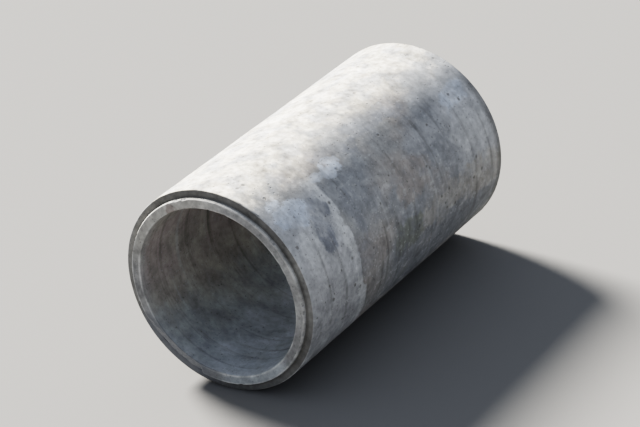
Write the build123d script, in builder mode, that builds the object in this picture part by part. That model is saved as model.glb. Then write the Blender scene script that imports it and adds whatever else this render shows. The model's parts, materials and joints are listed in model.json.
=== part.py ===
"""A precast reinforced-concrete culvert pipe with rebated flush joints, lying on its side.

The pipe is one casting. Its wall is spun up in a steel mould, and the mould's two end rings leave a
joint worked out of the wall's own thickness: a spigot tongue at one end, and at the other the
rebate that takes the next pipe's tongue. Lengths are in millimetres. The axis runs along Y at the
height of the outer radius, so that the pipe rests on Z = 0, and the spigot end is at -Y.
"""

import os

from build123d import *

# The barrel
bore_diameter = 1200
wall = 120
laying_length = 2500

# The spigot tongue, which is what the end ring leaves of the inner half of the wall
tongue_wall = 67
tongue_length = 30
nose_bevel_length = 10
nose_bevel_depth = 5

# The gaps that two laid pipes leave in their joint, filled with mortar on site
joint_side_gap = 4
joint_end_gap = 6
mouth_bevel = 6

# Rounded corners and arrises
root_round = 4
bore_arris_round = 8
outer_arris_round = 6

bore_radius = bore_diameter / 2
outer_radius = bore_radius + wall
tongue_radius = bore_radius + tongue_wall
rebate_radius = tongue_radius + joint_side_gap
rebate_depth = tongue_length + joint_end_gap

# The origin lies under the middle of the whole casting, tongue included
overall_length = laying_length + tongue_length
nose = -overall_length / 2
shoulder = nose + tongue_length
socket_mouth = shoulder + laying_length
rebate_floor = socket_mouth - rebate_depth

# The half section has the distance along the pipe as its x, and the radius as its y
section_plane = Plane(origin=(0, 0, outer_radius), x_dir=(0, 1, 0), z_dir=(1, 0, 0))
pipe_axis = Axis((0, 0, outer_radius), (0, 1, 0))


def corner(sketch, along, radius):
    """The corner that the half section has now at that distance along the pipe and that radius."""
    return sketch.vertices().sort_by_distance((along, radius))[0]


with BuildPart() as pipe:
    with BuildSketch(section_plane) as section:
        # The wall, over the length that the pipe counts for in a laid line
        with Locations((shoulder, bore_radius)):
            Rectangle(laying_length, wall, align=(Align.MIN, Align.MIN))
        # The tongue stands out of the shoulder, level with the bore
        with Locations((nose, bore_radius)):
            Rectangle(tongue_length, tongue_wall, align=(Align.MIN, Align.MIN))
        # The rebate is as long and as wide as the next pipe's tongue and its gaps
        with Locations((rebate_floor, bore_radius)):
            Rectangle(
                rebate_depth,
                rebate_radius - bore_radius,
                align=(Align.MIN, Align.MIN),
                mode=Mode.SUBTRACT,
            )

        # Inside corners, which concrete fills and strips cleanly only when they are rounded
        fillet(corner(section, shoulder, tongue_radius), root_round)
        fillet(corner(section, rebate_floor, rebate_radius), root_round)

        # Arrises of the bore, rubbed round while the concrete is green
        fillet(corner(section, nose, bore_radius), bore_arris_round)
        fillet(corner(section, rebate_floor, bore_radius), bore_arris_round)

        # Outer arrises, left by the corner of each end ring
        fillet(corner(section, shoulder, outer_radius), outer_arris_round)
        fillet(corner(section, socket_mouth, outer_radius), outer_arris_round)

        # The tongue's long bevel guides it into the next socket, whose mouth has an even one
        nose_end = section.edges().filter_by_position(Axis.X, nose, nose)[0]
        chamfer(corner(section, nose, tongue_radius), nose_bevel_depth, nose_bevel_length, reference=nose_end)
        chamfer(corner(section, socket_mouth, rebate_radius), mouth_bevel)
    # One full turn about the axis, which is how the spinning mould shapes the wall
    revolve(axis=pipe_axis)

pipe.part.label = "concrete_pipe"
os.makedirs("parts", exist_ok=True)
export_step(pipe.part, "parts/concrete_pipe.step")
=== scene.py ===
import json
import math
import random

import bpy
import numpy as np
from mathutils import Matrix, Vector, noise


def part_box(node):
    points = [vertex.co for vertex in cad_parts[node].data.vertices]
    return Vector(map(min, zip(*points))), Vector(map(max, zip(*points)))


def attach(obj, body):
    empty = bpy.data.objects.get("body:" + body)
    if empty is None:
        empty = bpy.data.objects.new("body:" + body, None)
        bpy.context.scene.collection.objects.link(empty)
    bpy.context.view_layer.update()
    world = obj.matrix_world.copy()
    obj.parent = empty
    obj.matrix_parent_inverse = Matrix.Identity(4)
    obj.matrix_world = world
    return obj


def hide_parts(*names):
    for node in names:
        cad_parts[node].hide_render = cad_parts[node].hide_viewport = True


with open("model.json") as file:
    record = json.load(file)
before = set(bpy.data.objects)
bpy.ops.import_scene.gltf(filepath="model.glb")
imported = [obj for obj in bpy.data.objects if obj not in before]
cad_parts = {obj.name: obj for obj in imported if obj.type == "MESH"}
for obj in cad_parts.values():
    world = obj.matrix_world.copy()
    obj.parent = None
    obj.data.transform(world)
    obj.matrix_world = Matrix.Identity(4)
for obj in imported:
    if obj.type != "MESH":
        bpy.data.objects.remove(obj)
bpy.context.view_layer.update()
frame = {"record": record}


# The pipe is one casting of reinforced concrete. A steel mould in two halves spins it, so its wall
# is a half section turned about the axis, with a tongue worked on one end and its rebate in the other.
low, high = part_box("concrete_pipe")
mounts = {mount["name"]: mount for mount in frame["record"]["mounts"]}
outer_radius = (high.z - low.z) / 2
bore_radius = mounts["waterway"]["dims"]["r_mm"] / 1000
tongue_radius = mounts["spigot"]["dims"]["r_mm"] / 1000
rebate_radius = mounts["socket"]["dims"]["r_mm"] / 1000
nose = low.y
shoulder = mounts["spigot_shoulder"]["pos_m"][1]
mouth = high.y

root_round = 0.004
bore_arris = 0.008
outer_arris = 0.006
land_edge = 0.0015
nose_bevel_length, nose_bevel_depth = 0.010, 0.005
mouth_bevel = 0.006
joint_end_gap = 0.006
rebate_floor = mouth - (shoulder - nose) - joint_end_gap

# Each corner of the half section: how far along, how far out, how round, and the run that it starts
corners = [
    (nose, bore_radius, bore_arris, "nose face"),
    (nose, tongue_radius - nose_bevel_depth, land_edge, "nose bevel"),
    (nose + nose_bevel_length, tongue_radius, land_edge, "tongue"),
    (shoulder, tongue_radius, root_round, "shoulder face"),
    (shoulder, outer_radius, outer_arris, "barrel"),
    (mouth, outer_radius, outer_arris, "socket face"),
    (mouth, rebate_radius + mouth_bevel, land_edge, "mouth bevel"),
    (mouth - mouth_bevel, rebate_radius, land_edge, "rebate"),
    (rebate_floor, rebate_radius, root_round, "rebate floor"),
    (rebate_floor, bore_radius, bore_arris, "bore"),
]
# The finest and the coarsest spacing of the rings along each kind of run
long_run_spacing = (0.006, 0.044)
short_run_spacing = (0.0045, 0.0075)


def rounded(before, corner, after, radius, steps):
    """The points of the arc that rounds a corner between the points before and after it."""
    back, onward = (before - corner), (after - corner)
    back, onward = back / np.linalg.norm(back), onward / np.linalg.norm(onward)
    half_angle = math.acos(np.clip(back @ onward, -1, 1)) / 2
    middle = (back + onward) / np.linalg.norm(back + onward)
    centre = corner + middle * radius / math.sin(half_angle)
    first = corner + back * radius / math.tan(half_angle) - centre
    last = corner + onward * radius / math.tan(half_angle) - centre
    turn = math.atan2(first[0] * last[1] - first[1] * last[0], first @ last)
    points = []
    for step in range(steps + 1):
        angle = turn * step / steps
        cos, sin = math.cos(angle), math.sin(angle)
        points.append(centre + (first[0] * cos - first[1] * sin, first[0] * sin + first[1] * cos))
    return points


def graded(length, spacing):
    """Places from 0 to 1 inside a run, close together near its ends and wider apart in the middle."""
    fine, coarse = spacing
    count = max(2, round(length * 2 / (fine + coarse)))
    bunching = (coarse - fine) / (coarse + fine)
    even = np.arange(1, count) / count
    return even - bunching * np.sin(2 * math.pi * even) / (2 * math.pi)


stations = []
station_run = []
points_at = [np.array(corner[:2]) for corner in corners]
for here, (*_, round_radius, run) in enumerate(corners):
    following = (here + 1) % len(corners)
    after_that = (here + 2) % len(corners)
    next_round = corners[following][2]
    steps = 2 if round_radius == land_edge else 4
    arc = rounded(points_at[here - 1], points_at[here], points_at[following], round_radius, steps)
    next_arc = rounded(points_at[here], points_at[following], points_at[after_that], next_round, steps)
    straight = next_arc[0] - arc[-1]
    length = np.linalg.norm(straight)
    spacing = long_run_spacing if run in ("barrel", "bore") else short_run_spacing
    stations += arc + [arc[-1] + straight * t for t in graded(length, spacing)]
    station_run += [run] * (len(stations) - len(station_run))
stations = np.array(stations)
station_run = np.array(station_run)
# The round at the tongue's root is a run of its own, because it breaks off with the tongue
in_root = (station_run == "shoulder face") & (stations[:, 1] < tongue_radius + 0.9 * root_round)
station_run[in_root] = "root"

# The columns go round the pipe by their angle from the top, towards +X. They stand closer together
# beside the mould's two seams and over the stretch of tongue that is broken off.
mould_seams = (math.radians(-31), math.radians(149))
seam_offsets = (-0.0045, -0.0028, -0.0014, 0, 0.0014, 0.0028, 0.0045)
spall_from, spall_to = math.radians(197), math.radians(247)
even_columns, spall_columns = 288, 100
narrowest_strip = math.radians(0.3)
beside_seams = [seam + offset / outer_radius for seam in mould_seams for offset in seam_offsets]
close_columns = np.append(beside_seams, np.linspace(spall_from, spall_to, spall_columns)) % (2 * math.pi)
columns = [
    angle
    for angle in np.linspace(0, 2 * math.pi, even_columns, endpoint=False)
    if np.abs(close_columns - angle).min() > narrowest_strip
]
columns = np.sort(np.append(columns, close_columns))

along = np.tile(stations[:, 0], (len(columns), 1))
radius = np.tile(stations[:, 1], (len(columns), 1))
ahead = np.roll(stations, -1, axis=0) - np.roll(stations, 1, axis=0)
ahead /= np.linalg.norm(ahead, axis=1)[:, None]
outward_along, outward_radius = -ahead[:, 1], ahead[:, 0]


def in_space():
    """Where the wall's points are now, in metres."""
    across = radius * np.sin(columns)[:, None]
    height = outer_radius + radius * np.cos(columns)[:, None]
    return np.stack([across, along, height], axis=-1)


def lumps(places, size, octaves=3):
    """Uneven heights from about -1 to 1, with the size of the largest lumps in all or in each direction."""
    scaled = (places / np.array(size)).reshape(-1, 3)
    heights = [noise.fractal(Vector(place), 1.0, 2.0, octaves) for place in scaled]
    return np.array(heights).reshape(places.shape[:-1])


places = in_space()
on_barrel = station_run == "barrel"
in_bore = station_run == "bore"
on_ends = ~(on_barrel | in_bore)

# The steel mould springs a little, and the bore keeps the rings of the spinning. On the barrel and the
# ends the relief goes inwards, which keeps the pipe in its box
barrel_waves, barrel_dents = 0.0014, 0.0006
bore_rings, bore_waves = 0.0022, 0.0016
end_roughness = 0.0007
relief = np.zeros_like(along)
relief[:, on_barrel] = barrel_waves * (lumps(places[:, on_barrel], 0.7, 2) - 1)
relief[:, on_barrel] += barrel_dents * lumps(places[:, on_barrel], 0.09)
relief[:, in_bore] = bore_waves * lumps(places[:, in_bore], 0.5, 2)
relief[:, in_bore] += bore_rings * lumps(places[:, in_bore], (1.6, 0.13, 1.6), 2)
relief[:, on_ends] = end_roughness * np.minimum(lumps(places[:, on_ends], 0.03) - 1, 0)

# Where the mould's halves meet, grout leaks into a thin fin, and one half stands a little proud
fin_height, fin_width, mould_step = 0.0016, 0.0016, 0.0006
for seam in mould_seams:
    aside = (columns - seam + math.pi) % (2 * math.pi) - math.pi
    fin = fin_height * np.exp(-((aside * outer_radius / fin_width) ** 2))
    left_on = np.clip(0.6 + lumps(places[:, on_barrel] * (0, 1, 0), 0.11), 0.1, 1.2)
    relief[:, on_barrel] += fin[:, None] * left_on
first_half = (columns > mould_seams[1]) & (columns < mould_seams[0] + 2 * math.pi)
relief[np.ix_(first_half, on_barrel)] -= mould_step

along += relief * outward_along
radius += relief * outward_radius
broken = np.zeros_like(along)

rough_share, rough_size = 0.28, 0.055
splinter_height, splinter_size = 0.0020, 0.014
fully_broken = 0.002


def knock_off(runs, corner, facing, depth):
    """Breaks the arris at a corner back to a rough plane that faces one way, by a depth for each column."""
    facing = np.array(facing) / np.linalg.norm(facing)
    where = np.isin(station_run, runs)
    spread = in_space()[:, where]
    depth = depth[:, None]
    rough = rough_share * depth * lumps(spread, rough_size) + splinter_height * lumps(spread, splinter_size)
    limit = np.dot(corner, facing) - depth + np.where(depth > 0, rough, 0)
    over = along[:, where] * facing[0] + radius[:, where] * facing[1] - limit
    over = np.where(depth > 0, np.clip(over, 0, None), 0)
    along[:, where] -= over * facing[0]
    radius[:, where] -= over * facing[1]
    broken[:, where] = np.maximum(broken[:, where], np.clip(over / fully_broken, 0, 1))


def bites(chance, count, widths, depths):
    """How deep the handling chips along one arris are at each column."""
    depth = np.zeros(len(columns))
    for _ in range(count):
        centre = chance.uniform(0, 2 * math.pi)
        half_width = chance.uniform(*widths) / 2 / outer_radius
        deepest = chance.uniform(*depths)
        aside = (columns - centre + math.pi) % (2 * math.pi) - math.pi
        bite = deepest * np.sqrt(np.clip(1 - (aside / half_width) ** 2, 0, 1))
        depth = np.maximum(depth, bite)
    return depth


# Each arris has lost a few chips to handling: how many there are, how wide and how deep
shoulder_corner, mouth_corner = (shoulder, outer_radius), (mouth, outer_radius)
bore_corner, land_corner = (nose, bore_radius), (nose + nose_bevel_length, tongue_radius)
rebate_corner = (mouth, rebate_radius + mouth_bevel)
chip_seed = 12
chance = random.Random(chip_seed)
for runs, corner, facing, count, widths, depths in (
    (["shoulder face", "barrel"], shoulder_corner, (-1, 1), 12, (0.015, 0.06), (0.003, 0.007)),
    (["barrel", "socket face"], mouth_corner, (1, 1), 12, (0.015, 0.06), (0.003, 0.007)),
    (["nose face", "bore"], bore_corner, (-1, -1), 10, (0.015, 0.05), (0.004, 0.008)),
    (["nose bevel", "tongue"], land_corner, (-1, 1.6), 12, (0.02, 0.05), (0.003, 0.006)),
    (["socket face", "mouth bevel"], rebate_corner, (1, -1), 14, (0.02, 0.05), (0.003, 0.007)),
):
    knock_off(runs, corner, facing, bites(chance, count, widths, depths))

# The tongue's low left side took a knock. Its whole lip is broken off on a slant, from its root to the
# bore, with one steep end and one that runs out slowly
lip_length, lip_depth = shoulder - nose, tongue_radius - bore_radius
spall_depth = lip_length * lip_depth / math.hypot(lip_length, lip_depth)
steep_share, slow_share = 0.07, 0.40
through = np.clip((columns - spall_from) / (spall_to - spall_from), 0, 1)
steep_end = np.clip(through / steep_share, 0, 1)
slow_end = np.clip((1 - through) / slow_share, 0, 1) ** 0.7
knock_off(
    ["nose face", "nose bevel", "tongue", "root"],
    (nose, tongue_radius),
    (-lip_depth, lip_length),
    spall_depth * steep_end * slow_end,
)

points = in_space()
column_count, station_count = along.shape
corner_of = np.arange(column_count * station_count).reshape(column_count, station_count)
next_column, next_station = np.roll(corner_of, -1, axis=0), np.roll(corner_of, -1, axis=1)
opposite = np.roll(next_column, -1, axis=1)
faces = np.stack([corner_of, next_column, opposite, next_station], axis=-1).reshape(-1, 4)

wall = bpy.data.meshes.new("spun_wall")
wall.from_pydata(points.reshape(-1, 3).tolist(), [], faces.tolist())
wall.polygons.foreach_set("use_smooth", [True] * len(wall.polygons))
wall.set_sharp_from_angle(angle=math.radians(50))
broken_mark = wall.attributes.new("broken", "FLOAT", "POINT")
broken_mark.data.foreach_set("value", broken.ravel())
pipe = bpy.data.objects.new("spun_wall", wall)
bpy.context.collection.objects.link(pipe)
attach(pipe, "root")
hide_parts("concrete_pipe")


class Wire:
    """A socket in one finish's node tree. Arithmetic on wires adds Math nodes to that tree."""

    def __init__(self, tree, socket=None):
        self.tree = tree
        self.socket = socket

    def node(self, kind, settings=None, sockets=None, output=0):
        """Adds a node: its settings are set first, then each socket gets its value or link."""
        made = self.tree.nodes.new(kind)
        for name, setting in (settings or {}).items():
            setattr(made, name, setting)
        for name, value in (sockets or {}).items():
            if isinstance(value, Wire):
                self.tree.links.new(value.socket, made.inputs[name])
            else:
                made.inputs[name].default_value = value
        return Wire(self.tree, made.outputs[output])

    def math(self, operation, *values):
        return self.node("ShaderNodeMath", {"operation": operation}, dict(enumerate(values)))

    def __add__(self, other):
        return self.math("ADD", self, other)

    def __radd__(self, other):
        return self.math("ADD", other, self)

    def __sub__(self, other):
        return self.math("SUBTRACT", self, other)

    def __rsub__(self, other):
        return self.math("SUBTRACT", other, self)

    def __mul__(self, other):
        return self.math("MULTIPLY", self, other)

    def __rmul__(self, other):
        return self.math("MULTIPLY", other, self)

    def __truediv__(self, other):
        return self.math("DIVIDE", self, other)

    def __pow__(self, other):
        return self.math("POWER", self, other)

    def __abs__(self):
        return self.math("ABSOLUTE", self)


def blend(under, over, mask):
    """One colour laid over another where the mask is 1."""
    return mask.node("ShaderNodeMix", {"data_type": "RGBA"}, {0: mask, 6: under, 7: over}, output=2)


def shaded(colour, strength):
    """A colour made lighter or darker by one factor."""
    return strength.node("ShaderNodeVectorMath", {"operation": "SCALE"}, {0: colour, "Scale": strength})


def ease(value, start, end):
    """0 before the start and 1 past the end, with a smooth change between them."""
    return value.node(
        "ShaderNodeMapRange",
        {"interpolation_type": "SMOOTHSTEP"},
        {"Value": value, "From Min": start, "From Max": end},
    )


def cloud(place, size, detail=3, roughness=0.5, stretch=(1, 1, 1)):
    """Noise from 0 to 1 whose largest patches have that size, in metres."""
    scaled = place.node("ShaderNodeVectorMath", {"operation": "MULTIPLY"}, {0: place, 1: stretch})
    return place.node(
        "ShaderNodeTexNoise",
        sockets={"Vector": scaled, "Scale": 1 / size, "Detail": detail, "Roughness": roughness},
    )


def cells(place, size, output):
    """Random cells of that size: output 0 is the distance to each cell's middle, and 1 its own colour."""
    return place.node("ShaderNodeTexVoronoi", sockets={"Vector": place, "Scale": 1 / size}, output=output)


def split(vector):
    """The three parts of a vector or a colour."""
    return [vector.node("ShaderNodeSeparateXYZ", sockets={0: vector}, output=axis) for axis in range(3)]


def pits(place, size, share):
    """Air holes: 1 at the bottom of a hole and 0 on the skin. The share is how many cells have one."""
    chosen = split(cells(place, size, 1))
    hole_radius = 0.12 + 0.26 * chosen[1]
    return ease(cells(place, size, 0), hole_radius, 0.4 * hole_radius) * ease(chosen[0], share + 0.02, share)


def specks(place, size, share):
    """Sand at the surface: 1 on a grain and 0 beside it. The share is how many cells show one."""
    chosen = split(cells(place, size, 1))
    return ease(cells(place, size, 0), 0.42, 0.22) * ease(chosen[2], share + 0.02, share)


# Where the skin is gone, the break shows darker paste with the stones in it
fracture_paste = (0.275, 0.275, 0.272, 1)
fracture_stone = (0.390, 0.385, 0.375, 1)
stone_size, stone_height = 0.013, 0.0022


class Finish:
    """One concrete finish: its material, and the wires that every finish starts from."""

    def __init__(self, name):
        self.material = bpy.data.materials.new(name)
        self.material.use_nodes = True
        self.tree = self.material.node_tree
        self.surface = self.tree.nodes["Principled BSDF"]
        start = Wire(self.tree)
        self.place = start.node("ShaderNodeTexCoord", output=3)
        self.across, self.along, self.height = split(self.place)
        self.up = self.height - outer_radius
        self.around = start.math("ARCTAN2", self.across, self.up)
        self.reach = (self.across * self.across + self.up * self.up) ** 0.5
        self.grain = cloud(self.place, 0.006, 2, 0.6)
        self.fleck = cloud(self.place, 0.036, 2, 0.5)
        self.patchy = cloud(self.place, 0.12, 4, 0.55)
        self.tone = cloud(self.place, 0.45, 4, 0.55)
        self.broken = start.node("ShaderNodeAttribute", {"attribute_name": "broken"}, output=2)

    def side(self, degrees, half_width):
        """1 on the side that lies in that direction from the axis, in degrees from the top towards +X."""
        angle = math.radians(degrees)
        cosine = (self.across * math.sin(angle) + self.up * math.cos(angle)) / self.reach
        edges = [math.cos(math.radians(half_width * share)) for share in (1.35, 0.65)]
        return ease(cosine + 0.002 * half_width * (self.patchy - 0.5), *edges)

    def mottled(self, colour, large, middle, small):
        """The colour with patches of three sizes, each as strong as its number says."""
        for patches, strength in ((self.tone, large), (self.patchy, middle), (self.fleck, small)):
            colour = shaded(colour, 1 + strength * (patches - 0.5))
        return colour

    def apply(self, colour, relief, roughness, soil_and_shade=None):
        """Lays broken concrete where the arrises are gone and any overlay of soil and painted shade over
        all, and links the shader.
        """
        stones = split(cells(self.place, stone_size, 1))[0]
        fracture = blend(fracture_paste, fracture_stone, ease(stones, 0.45, 0.6) * 0.8)
        fracture_relief = -stone_height * ease(cells(self.place, stone_size, 0), 0.2, 0.7)
        mask = ease(self.broken, 0.2, 0.8)
        colour = blend(colour, fracture, mask)
        relief = relief + mask * (fracture_relief - relief)
        if soil_and_shade:
            colour = blend(colour, *soil_and_shade)
        bump = relief.node("ShaderNodeBump", sockets={"Strength": 1, "Distance": 1, "Height": relief})
        for socket, wire in (("Base Color", colour), ("Roughness", roughness), ("Normal", bump)):
            self.tree.links.new(wire.socket, self.surface.inputs[socket])
        return self.material


# The outer skin is what the steel mould leaves: grey paste with air holes. Its top is paler, with bleaching
# and a painted highlight, its underside darker, with dirt and painted shade, and lime has dried on its
# spigot end, palest in the rim where it stops
skin = Finish("mould_skin")
flank_paste = (0.325, 0.325, 0.322, 1)
cool_paste = (0.298, 0.312, 0.330, 1)
warm_paste = (0.350, 0.315, 0.290, 1)
bleach_and_highlight = (0.668, 0.616, 0.535, 1)
grey_dust = (0.400, 0.405, 0.410, 1)
lime_wash = (0.465, 0.475, 0.490, 1)
dry_crust = (0.460, 0.440, 0.410, 1)
lime_rim = (0.590, 0.600, 0.605, 1)
bloom = (0.560, 0.610, 0.680, 1)
blotch = (0.235, 0.250, 0.280, 1)
algae = (0.215, 0.225, 0.180, 1)
grime_and_shade = (0.120, 0.115, 0.105, 1)
mud = (0.200, 0.175, 0.140, 1)

wander = cloud(skin.place, 0.34, 4, 0.55)
drift = cloud(skin.place, 0.27, 4, 0.55, (1.3, 0.9, 1.1))
ragged = cloud(skin.place, 0.075, 4, 0.62)
along_skin = skin.along + 0.26 * (wander - 0.5)
around_skin = skin.around + 0.40 * (drift - 0.5)
turned = abs(around_skin)


def stain(middle_along, middle_around, half_length, half_width):
    """1 inside a ragged stain on the barrel, placed in metres along the pipe and in degrees round it."""
    lengthwise = (along_skin - middle_along) / half_length
    crosswise = (around_skin - math.radians(middle_around)) * (outer_radius / half_width)
    return ease(lengthwise * lengthwise + crosswise * crosswise + 2.6 * (ragged - 0.5), 1.25, 0.55)


colour = blend(cool_paste, flank_paste, ease(skin.tone, 0.36, 0.60))
warmth = cloud(skin.place, 0.42, 4, 0.55, (1, 0.7, 1))
colour = blend(colour, warm_paste, ease(warmth, 0.48, 0.66) * 0.6)

# The lime stops at a ragged line round the pipe, about 60 cm from the spigot end. It is thinner at the
# far end, and starts there with no rim
past_lime = along_skin + 0.66 - 0.13 * ease(turned, 1.5, 2.1) + 0.10 * (ragged - 0.5)
colour = blend(colour, lime_wash, ease(past_lime, 0.02, -0.01) * ease(turned, 0.55, 0.75) * 0.85)
rim = ease(abs(past_lime + 0.036), 0.052, 0.022) * ease(turned, 0.50, 0.64)
colour = blend(colour, lime_rim, rim)
far_wash = ease(along_skin + 0.5 * (ragged - 0.5), 0.48, 0.95) * ease(turned, 2.0, 1.5)
colour = blend(colour, lime_wash, far_wash * 0.85)

# The top is paler, a little to one side of the crown and most of all at the spigot end: bleached by weather
# and with a painted highlight where the lamp falls. The side towards -X, which faces the lamp, is darkened
# with painted shade, and is more uneven below the top
from_crown = abs(around_skin + 0.14)
top = ease(from_crown + 0.7 * (ragged - 0.5) + 0.09 * ease(along_skin, -0.75, -0.35), 0.80, 0.26)
lamp_side_shade = ease(around_skin, -0.75, -1.25)
dusting = cloud(skin.place, 0.16, 5, 0.6, (1, 0.8, 1))
whitened = blend(bleach_and_highlight, grey_dust, ease(dusting, 0.44, 0.60) * 0.8)
colour = blend(colour, whitened, top)

# Each larger stain: its colour and strength, its middle along and round the pipe, and half its size
patchiness = 0.45 + 0.70 * ease(dusting, 0.36, 0.56)
for tint, strength, middle_along, middle_around, half_length, half_width in (
    (bloom, 0.90, -1.02, 42, 0.19, 0.15),
    (bloom, 0.80, -0.46, 37, 0.10, 0.055),
    (bloom, 0.60, -0.60, 36, 0.09, 0.035),
    (bloom, 0.55, -0.37, 33, 0.06, 0.040),
    (lime_rim, 0.55, -1.05, 66, 0.14, 0.12),
    (blotch, 1.00, -0.86, 60, 0.09, 0.12),
    (blotch, 0.75, -0.79, 49, 0.06, 0.07),
    (bloom, 0.70, 1.03, 46, 0.15, 0.12),
    (lime_rim, 0.45, 0.95, 68, 0.24, 0.12),
    (warm_paste, 0.60, 0.18, 66, 0.24, 0.16),
    (lime_wash, 0.50, 0.42, 52, 0.22, 0.10),
    (dry_crust, 0.60, 0.45, 95, 0.34, 0.11),
    (dry_crust, 0.80, 0.98, 94, 0.34, 0.15),
    (algae, 0.55, -0.02, 93, 0.20, 0.12),
    (blotch, 0.50, -0.12, 33, 0.09, 0.06),
    (blotch, 0.42, 0.05, 28, 0.60, 0.08),
    (blotch, 0.30, -0.50, 62, 0.08, 0.20),
    (blotch, 0.45, 0.42, 31, 0.20, 0.06),
    (blotch, 0.35, -0.60, 88, 0.14, 0.12),
    (blotch, 0.60, -0.45, -128, 0.30, 0.16),
    (bloom, 0.60, 0.55, -55, 0.22, 0.12),
    (blotch, 0.60, 0.75, -98, 0.16, 0.22),
    (bloom, 0.50, -0.35, -72, 0.16, 0.10),
):
    laid = stain(middle_along, middle_around, half_length, half_width) * patchiness
    colour = blend(colour, tint, laid * strength)

# Painted shade darkens the side towards -X. Dark and pale streaks run down both sides. The underside is
# darker, with dirt and painted shade, and is splashed with mud
colour = shaded(colour, 1 - 0.56 * lamp_side_shade)
sides = ease(turned, 0.45, 0.80)
streaks = cloud(skin.place, 0.6, 2, 0.45, (0.7, 11, 0.7))
colour = blend(colour, grime_and_shade, ease(streaks, 0.55, 0.75) * sides * 0.40)
colour = blend(colour, lime_rim, ease(streaks, 0.42, 0.28) * sides * 0.25)
colour = shaded(colour, 1 - 0.29 * ease(turned, 1.02, 1.95))
splash = ease(skin.height + 0.35 * (cloud(skin.place, 0.09, 5, 0.65) - 0.5), 0.34, 0.0)
colour = blend(colour, mud, splash * 0.7)

# Small spots lie all over, the last few centimetres at the socket end are dark, the air holes are darkened
# with dirt and painted shade, and dirt sits between the grains
spots = cloud(skin.place, 0.060, 3, 0.5, (1, 0.8, 1))
colour = blend(colour, lime_rim, ease(spots, 0.60, 0.66) * 0.20)
colour = blend(colour, blotch, ease(spots, 0.37, 0.31) * 0.20)
dark_socket_rim = ease(skin.along + 0.05 * (ragged - 0.5), mouth - 0.085, mouth - 0.035) * ease(turned, 0.6, 0.9)
colour = blend(colour, grime_and_shade, dark_socket_rim * 0.55)
holes = pits(skin.place, 0.020, 0.22) + pits(skin.place, 0.055, 0.10)
colour = blend(colour, grime_and_shade, holes * 0.75)
colour = blend(colour, grime_and_shade, ease(skin.grain, 0.40, 0.75) * 0.10)
colour = blend(colour, grime_and_shade, specks(skin.place, 0.013, 0.16) * 0.35)
colour = blend(colour, lime_rim, specks(skin.place, 0.017, 0.12) * 0.35)
skin_relief = 0.0008 * cloud(skin.place, 0.030, 3, 0.5) + 0.00020 * skin.grain - 0.0022 * holes
uneven = 1 + 1.1 * top + 0.9 * lamp_side_shade
colour = skin.mottled(colour, 0.6, 1.1 * uneven, 0.7 * uneven)
wall.materials.append(skin.apply(colour, skin_relief, 0.80 + 0.16 * skin.patchy))

# The joint rings are cast against the mould's end rings and rubbed up with mortar. They are coarser than
# the skin and pale where they are clean, with soil and painted shade in the step between the tongue and the
# barrel
ring = Finish("joint_mortar")
mortar = (0.365, 0.362, 0.355, 1)
stale_mortar = (0.250, 0.251, 0.250, 1)
highlight_mortar = (0.560, 0.540, 0.500, 1)
sky_reflection_lip = (0.430, 0.470, 0.495, 1)
worn_edge = (0.540, 0.535, 0.520, 1)
soil_and_shade = (0.150, 0.150, 0.155, 1)
wet_soil_and_shade = (0.118, 0.132, 0.156, 1)
dried_mud = (0.292, 0.252, 0.232, 1)
rubbed = cloud(ring.place, 0.14, 5, 0.68)
colour = blend(stale_mortar, mortar, ease(rubbed, 0.40, 0.58))
# Painted highlight: the ring's upper left is made paler where the lamp catches the tongue
colour = blend(colour, highlight_mortar, ring.side(325, 38) * 0.85)
# Painted reflection of the sky: the ring's bottom lip is pale blue
colour = blend(colour, sky_reflection_lip, ring.side(158, 26) * 0.75)
# Painted shade darkens the ring's lower left, towards the floor
colour = shaded(colour, 1 - 0.24 * ring.side(228, 100))
for middle_around, half_width, strength in ((32, 17, 0.25), (118, 14, 0.40), (262, 16, 0.20)):
    colour = blend(colour, soil_and_shade, ring.side(middle_around, half_width) * strength)

behind_shoulder = ease(ring.along, shoulder + 0.030, shoulder + 0.015)
on_shoulder = ease(ring.along, shoulder - 0.006, shoulder - 0.001) * behind_shoulder
# A painted shadow line on the shoulder, round the tongue's root
root_line = on_shoulder * ease(ring.reach, tongue_radius + 0.022, tongue_radius + 0.007)
shoulder_wear = 0.60 * ring.side(262, 46) + 0.50 * ring.side(84, 24)
# Soil and painted shade darken the shoulder at its top and its bottom, in patches
shoulder_soil_and_shade = 0.70 * ring.side(8, 46) + 0.75 * ring.side(153, 44)
soil_and_shade_patches = 0.55 + 0.6 * ease(ring.patchy, 0.38, 0.58)
colour = blend(colour, worn_edge, on_shoulder * shoulder_wear)
colour = blend(colour, soil_and_shade, on_shoulder * shoulder_soil_and_shade * soil_and_shade_patches)
# Painted shade darkens the step's corner, and the painted shadow line goes round the tongue's root
in_step = ease(ring.along, shoulder - 0.010, shoulder - 0.002)
in_step = in_step * ease(ring.along, shoulder + 0.004, shoulder + 0.0005)
colour = blend(colour, grime_and_shade, in_step * 0.7)
colour = blend(colour, grime_and_shade, root_line * 0.55)

# Painted shade darkens the socket's end ring, and its rebate holds soil and painted shade in its corner
at_socket = ease(ring.along, rebate_floor - 0.03, rebate_floor - 0.01)
colour = shaded(colour, 1 - 0.22 * at_socket)
in_corner = ease(ring.along + 0.006 * (rubbed - 0.5), rebate_floor + 0.014, rebate_floor + 0.002)
in_corner = in_corner * ease(ring.reach, rebate_radius - 0.020, rebate_radius - 0.004)
colour = blend(colour, grime_and_shade, at_socket * in_corner * 0.75)

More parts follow.
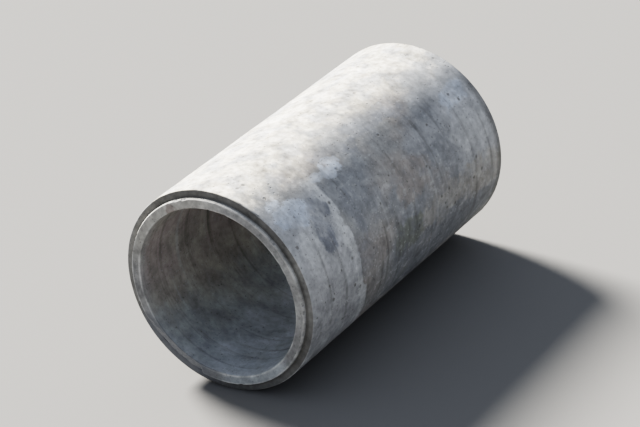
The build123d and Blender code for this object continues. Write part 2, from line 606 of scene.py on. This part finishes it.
# Handling has worn the two edges of the nose face pale, and a lump of mud has dried on its inner edge
on_nose = ease(ring.along, nose + 0.016, nose + 0.008)
for edge, width in ((bore_radius, 0.016), (tongue_radius - nose_bevel_depth, 0.012)):
    worn = ease(abs(ring.reach + 0.01 * (rubbed - 0.5) - edge), width, 0.3 * width)
    colour = blend(colour, worn_edge, on_nose * worn * (0.35 + 0.4 * ease(ring.patchy, 0.42, 0.58)))
lump_angle, lump_radius = math.radians(334), 0.054
lump_reach = bore_radius + 0.014
lump_across = ring.across - lump_reach * math.sin(lump_angle)
lump_up = ring.up - lump_reach * math.cos(lump_angle)
from_lump = (lump_across * lump_across + lump_up * lump_up) ** 0.5 + 0.05 * (ring.fleck - 0.5)
mud_lump = ease(from_lump, lump_radius, 0.6 * lump_radius)
colour = blend(colour, dried_mud, on_nose * mud_lump * 0.85)

# The air holes in the rings are darkened with dirt and painted shade
ring_holes = pits(ring.place, 0.016, 0.28)
colour = blend(colour, grime_and_shade, ring_holes * 0.6)
colour = blend(colour, grime_and_shade, ease(ring.grain, 0.38, 0.75) * 0.2)
ring_relief = 0.0011 * cloud(ring.place, 0.02, 5, 0.68) + 0.0004 * ring.grain - 0.0018 * ring_holes
colour = ring.mottled(colour, 0.5, 1.3, 0.8)
# Wet soil and painted shade darken the broken lip on the low left
low_left_soil_and_shade = (wet_soil_and_shade, ring.side(219, 27) * behind_shoulder * 0.6)
wall.materials.append(ring.apply(colour, ring_relief, 0.84 + 0.14 * rubbed, low_left_soil_and_shade))

# The bore is spun paste, with the rings that the spinning left. Its upper right is made pale as painted
# light, with a little moss below it and clay across from it, and its bottom is blue grey, damp and with a
# painted sky reflection
bore = Finish("spun_bore")
dusty = (0.375, 0.356, 0.330, 1)
painted_light_pale = (0.755, 0.715, 0.665, 1)
moss = (0.540, 0.550, 0.430, 1)
clay = (0.360, 0.312, 0.312, 1)
damp_and_sky_reflection = (0.398, 0.442, 0.496, 1)
slime = (0.250, 0.275, 0.280, 1)
dry_lip_and_reflection = (0.420, 0.455, 0.490, 1)
seep = cloud(bore.place, 0.30, 6, 0.68)
down = ease(bore.height + 0.55 * (seep - 0.5), 0.46, 0.16)
colour = blend(dusty, painted_light_pale, bore.side(36, 66))
colour = shaded(colour, 1 - 0.17 * bore.side(275, 45))
colour = blend(colour, moss, bore.side(76, 22) * ease(seep, 0.42, 0.60) * 0.5)
colour = blend(colour, clay, bore.side(282, 22) * ease(seep, 0.40, 0.58) * 0.6)
colour = blend(colour, damp_and_sky_reflection, down)
# Painted shade darkens the bore towards the socket end, where the lamp shines in
colour = shaded(colour, 1 - 0.25 * ease(bore.along, 0.35, 1.0))
slime_height = bore.height + 0.30 * (seep - 0.5)
slime_band = ease(slime_height, 0.12, 0.24) * ease(slime_height, 0.52, 0.34)
colour = blend(colour, slime, slime_band * 0.55)

ring_marks = cloud(bore.place, 0.6, 4, 0.6, (0.25, 9, 0.25))
colour = blend(colour, grime_and_shade, ease(ring_marks, 0.53, 0.72) * 0.55)
colour = blend(colour, dry_lip_and_reflection, ease(ring_marks, 0.44, 0.30) * 0.35)
# A dry pale lip round the nose, with a painted sky reflection strongest at its bottom
near_nose = ease(bore.along + 0.16 * (seep - 0.5), nose + 0.12, nose + 0.01)
colour = blend(colour, dry_lip_and_reflection, near_nose * (0.25 + 0.55 * down))
dark_ring_at = -0.47
dark_ring = ease(abs(bore.along + 0.02 * (seep - 0.5) - dark_ring_at), 0.016, 0.004)
colour = blend(colour, grime_and_shade, dark_ring * ease(bore.up, -0.25, 0.1) * 0.6)
# The bore's air holes are darkened with dirt and painted shade
bore_holes = pits(bore.place, 0.024, 0.12)
colour = blend(colour, grime_and_shade, bore_holes * 0.6)
colour = blend(colour, grime_and_shade, ease(bore.grain, 0.40, 0.75) * 0.15)
colour = blend(colour, grime_and_shade, specks(bore.place, 0.015, 0.14) * 0.35)
colour = blend(colour, dry_lip_and_reflection, specks(bore.place, 0.018, 0.10) * 0.30)
bore_relief = 0.0010 * ring_marks + 0.0006 * cloud(bore.place, 0.03, 4, 0.6)
bore_relief = bore_relief + 0.00015 * bore.grain - 0.0015 * bore_holes
colour = bore.mottled(colour, 0.9, 1.15, 0.6)
wall.materials.append(bore.apply(colour, bore_relief, 0.86 - 0.22 * down))

# The materials' places in the mesh, in the order in which they were added
finish_of_run = {"barrel": 0, "bore": 2}
face_finish = [finish_of_run.get(run, 1) for run in station_run]
wall.polygons.foreach_set("material_index", face_finish * column_count)


# A plain pale floor, a soft lamp high up on the left, and a weak pale sky that fills the shade
floor_mesh = bpy.data.meshes.new("floor")
floor_reach = 60
floor_corners = [(-1, -1), (1, -1), (1, 1), (-1, 1)]
floor_mesh.from_pydata([(floor_reach * x, floor_reach * y, 0) for x, y in floor_corners], [], [(0, 1, 2, 3)])
floor = bpy.data.objects.new("floor", floor_mesh)
bpy.context.collection.objects.link(floor)
paint = bpy.data.materials.new("pale_floor")
paint.use_nodes = True
floor_surface = paint.node_tree.nodes["Principled BSDF"]
floor_surface.inputs["Base Color"].default_value = (0.208, 0.205, 0.201, 1)
floor_surface.inputs["Roughness"].default_value = 0.9
floor_surface.inputs["Specular IOR Level"].default_value = 0.1
floor_mesh.materials.append(paint)

lamp_direction = Vector((-0.759, 0.275, 0.590)).normalized()
lamp_distance = 8
lamp = bpy.data.lights.new("key_lamp", "SUN")
lamp.angle = math.radians(17)
lamp.energy = 15
lamp.color = (1.0, 0.965, 0.91)
lamp_stand = bpy.data.objects.new("key_lamp", lamp)
lamp_stand.location = Vector((0, 0, outer_radius)) + lamp_direction * lamp_distance
lamp_stand.rotation_euler = (-lamp_direction).to_track_quat("-Z", "Y").to_euler()
bpy.context.collection.objects.link(lamp_stand)

sky = bpy.data.worlds.new("studio")
bpy.context.scene.world = sky
sky.use_nodes = True
sky_light = sky.node_tree.nodes["Background"]
sky_light.inputs["Color"].default_value = (0.80, 0.88, 1.0, 1)
sky_light.inputs["Strength"].default_value = 0.48


# The camera stands where the photograph was taken from, well above the spigot end and to its right,
# with a longer lens that fills the frame with the pipe
camera_place = Vector((9.039, -12.946, 8.245))
camera_aim = Vector((0.0, 0.0, 0.70))
camera_roll = math.radians(-7)
lens = bpy.data.cameras.new("camera")
lens.lens = 145
lens.clip_end = 400
camera = bpy.data.objects.new("camera", lens)
sight = (camera_aim - camera_place).to_track_quat("-Z", "Y").to_matrix().to_4x4()
camera.matrix_world = Matrix.Translation(camera_place) @ sight @ Matrix.Rotation(camera_roll, 4, "Z")
bpy.context.collection.objects.link(camera)
bpy.context.scene.camera = camera
bpy.context.scene.view_settings.view_transform = "Filmic"
bpy.context.scene.view_settings.look = "High Contrast"
